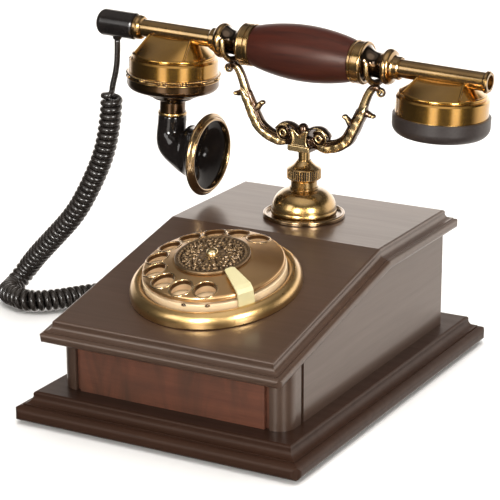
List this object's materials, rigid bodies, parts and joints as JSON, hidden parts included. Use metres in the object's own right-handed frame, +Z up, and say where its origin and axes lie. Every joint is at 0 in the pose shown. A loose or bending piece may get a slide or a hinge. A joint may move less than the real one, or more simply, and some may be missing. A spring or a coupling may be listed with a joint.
{
  "type": "rotary telephone",
  "caption": "Antique-style rotary telephone: stepped wooden case, brass dial on a sloping lid, forked cradle, and a handset with horn mouthpiece and curly cord.",
  "frame": {"origin": "on the table, under the centre of the plinth's footprint, on the felt sole's underside", "axes": "+X to the right of a person facing the dial and along the handset, +Y to the back, +Z up"},
  "size_m": [0.3501, 0.2911, 0.2083],
  "materials": {
    "dark_wood": "dark stained hardwood, satin lacquer",
    "red_wood": "reddish mahogany, satin lacquer",
    "grip_wood": "turned dark red wood, gloss lacquer",
    "felt": "pressed felt",
    "board_plastic": "brown phenolic board",
    "steel": "plain machined",
    "antique_brass": "antiqued brass, dark in the hollows",
    "pale_brass": "polished pale brass",
    "black_gloss": "polished black",
    "ear_black": "satin black",
    "cord_jacket": "charcoal vinyl"
  },
  "bodies": {
    "base": {"felt_sole": "felt", "plinth": "dark_wood", "bottom_cover": "board_plastic", "base_screws": "steel", "front_posts": "dark_wood", "front_panel": "red_wood", "side_panels": "dark_wood", "back_panel": "dark_wood", "glue_blocks": "dark_wood", "lid": "dark_wood", "line_jack": "ear_black", "cord_gland": "ear_black", "dial_bezel": "antique_brass", "dial_screws": "steel", "number_cup": "pale_brass", "finger_stop": "pale_brass", "dial_frame": "steel", "dial_return_spring": "steel", "governor_drum": "steel", "pulse_contacts": "board_plastic", "cradle_flange": "antique_brass", "cradle_dome": "antique_brass", "knurled_collar": "antique_brass", "plunger_bush": "steel", "hook_switch": "board_plastic", "hook_leaf_spring": "steel", "circuit_board": "board_plastic", "ringer_bracket": "steel", "ringer_gongs": "steel", "cord_upper_tail": "cord_jacket", "cord_coil": "cord_jacket", "cord_lower_tail": "cord_jacket"},
    "dial": {"finger_wheel": "antique_brass", "dial_medallion": "antique_brass", "medallion_screw": "steel", "dial_shaft": "steel", "main_gear": "steel"},
    "governor": {"governor_rotor": "steel"},
    "hook": {"hook_stem": "steel", "retaining_clip": "steel", "cradle_fork": "antique_brass"},
    "handset": {"handset_grip": "grip_wood", "handset_ferrules": "antique_brass", "handset_necks": "black_gloss", "handset_flanges": "antique_brass", "tie_rod": "steel", "right_tube": "antique_brass", "left_tube": "antique_brass", "end_cap": "black_gloss", "cord_bush": "black_gloss", "transmitter_cup": "antique_brass", "transmitter_band": "antique_brass", "transmitter_base": "antique_brass", "transmitter_capsule": "steel", "mouthpiece_horn": "black_gloss", "horn_rim": "antique_brass", "receiver_cup": "antique_brass", "ear_cap": "ear_black", "receiver_capsule": "steel"},
    "clapper": {"ringer_clapper": "steel"}
  },
  "joints": [
    {"name": "dial_turn", "type": "hinge", "parent": "base", "child": "dial", "pos_m": [0, -0.05376, 0.07551], "axis": [0, 0.2064, -0.9785], "range_deg": [0, 310], "stiffness_Nm_per_rad": 0.004, "springref_deg": -34.38, "deforming": ["dial_return_spring"]},
    {"name": "governor_spin", "type": "hinge", "parent": "base", "child": "governor", "pos_m": [-0.02718, -0.06344, 0.07346], "axis": [0, 0.2064, -0.9785], "range_deg": [-1550, 0]},
    {"name": "handset_lift", "type": "slide", "parent": "base", "child": "handset", "axis": [0.0436, 0, 0.999], "range_m": [0, 0.15]},
    {"name": "hook_rise", "type": "slide", "parent": "base", "child": "hook", "axis": [0, 0, 1], "range_m": [0, 0.007], "stiffness_N_per_m": 150, "springref_m": 0.012, "deforming": ["hook_leaf_spring"]},
    {"name": "clapper_swing", "type": "hinge", "parent": "base", "child": "clapper", "pos_m": [0, -0.001, 0.021], "axis": [0, 0, 1], "range_deg": [-11, 11], "stiffness_Nm_per_rad": 0.0015}
  ],
  "couplings": [
    {"joint": "governor_spin", "follows": "dial_turn", "ratio": -5},
    {"joint": "hook_rise", "follows": "handset_lift", "ratio": 0.0466}
  ]
}
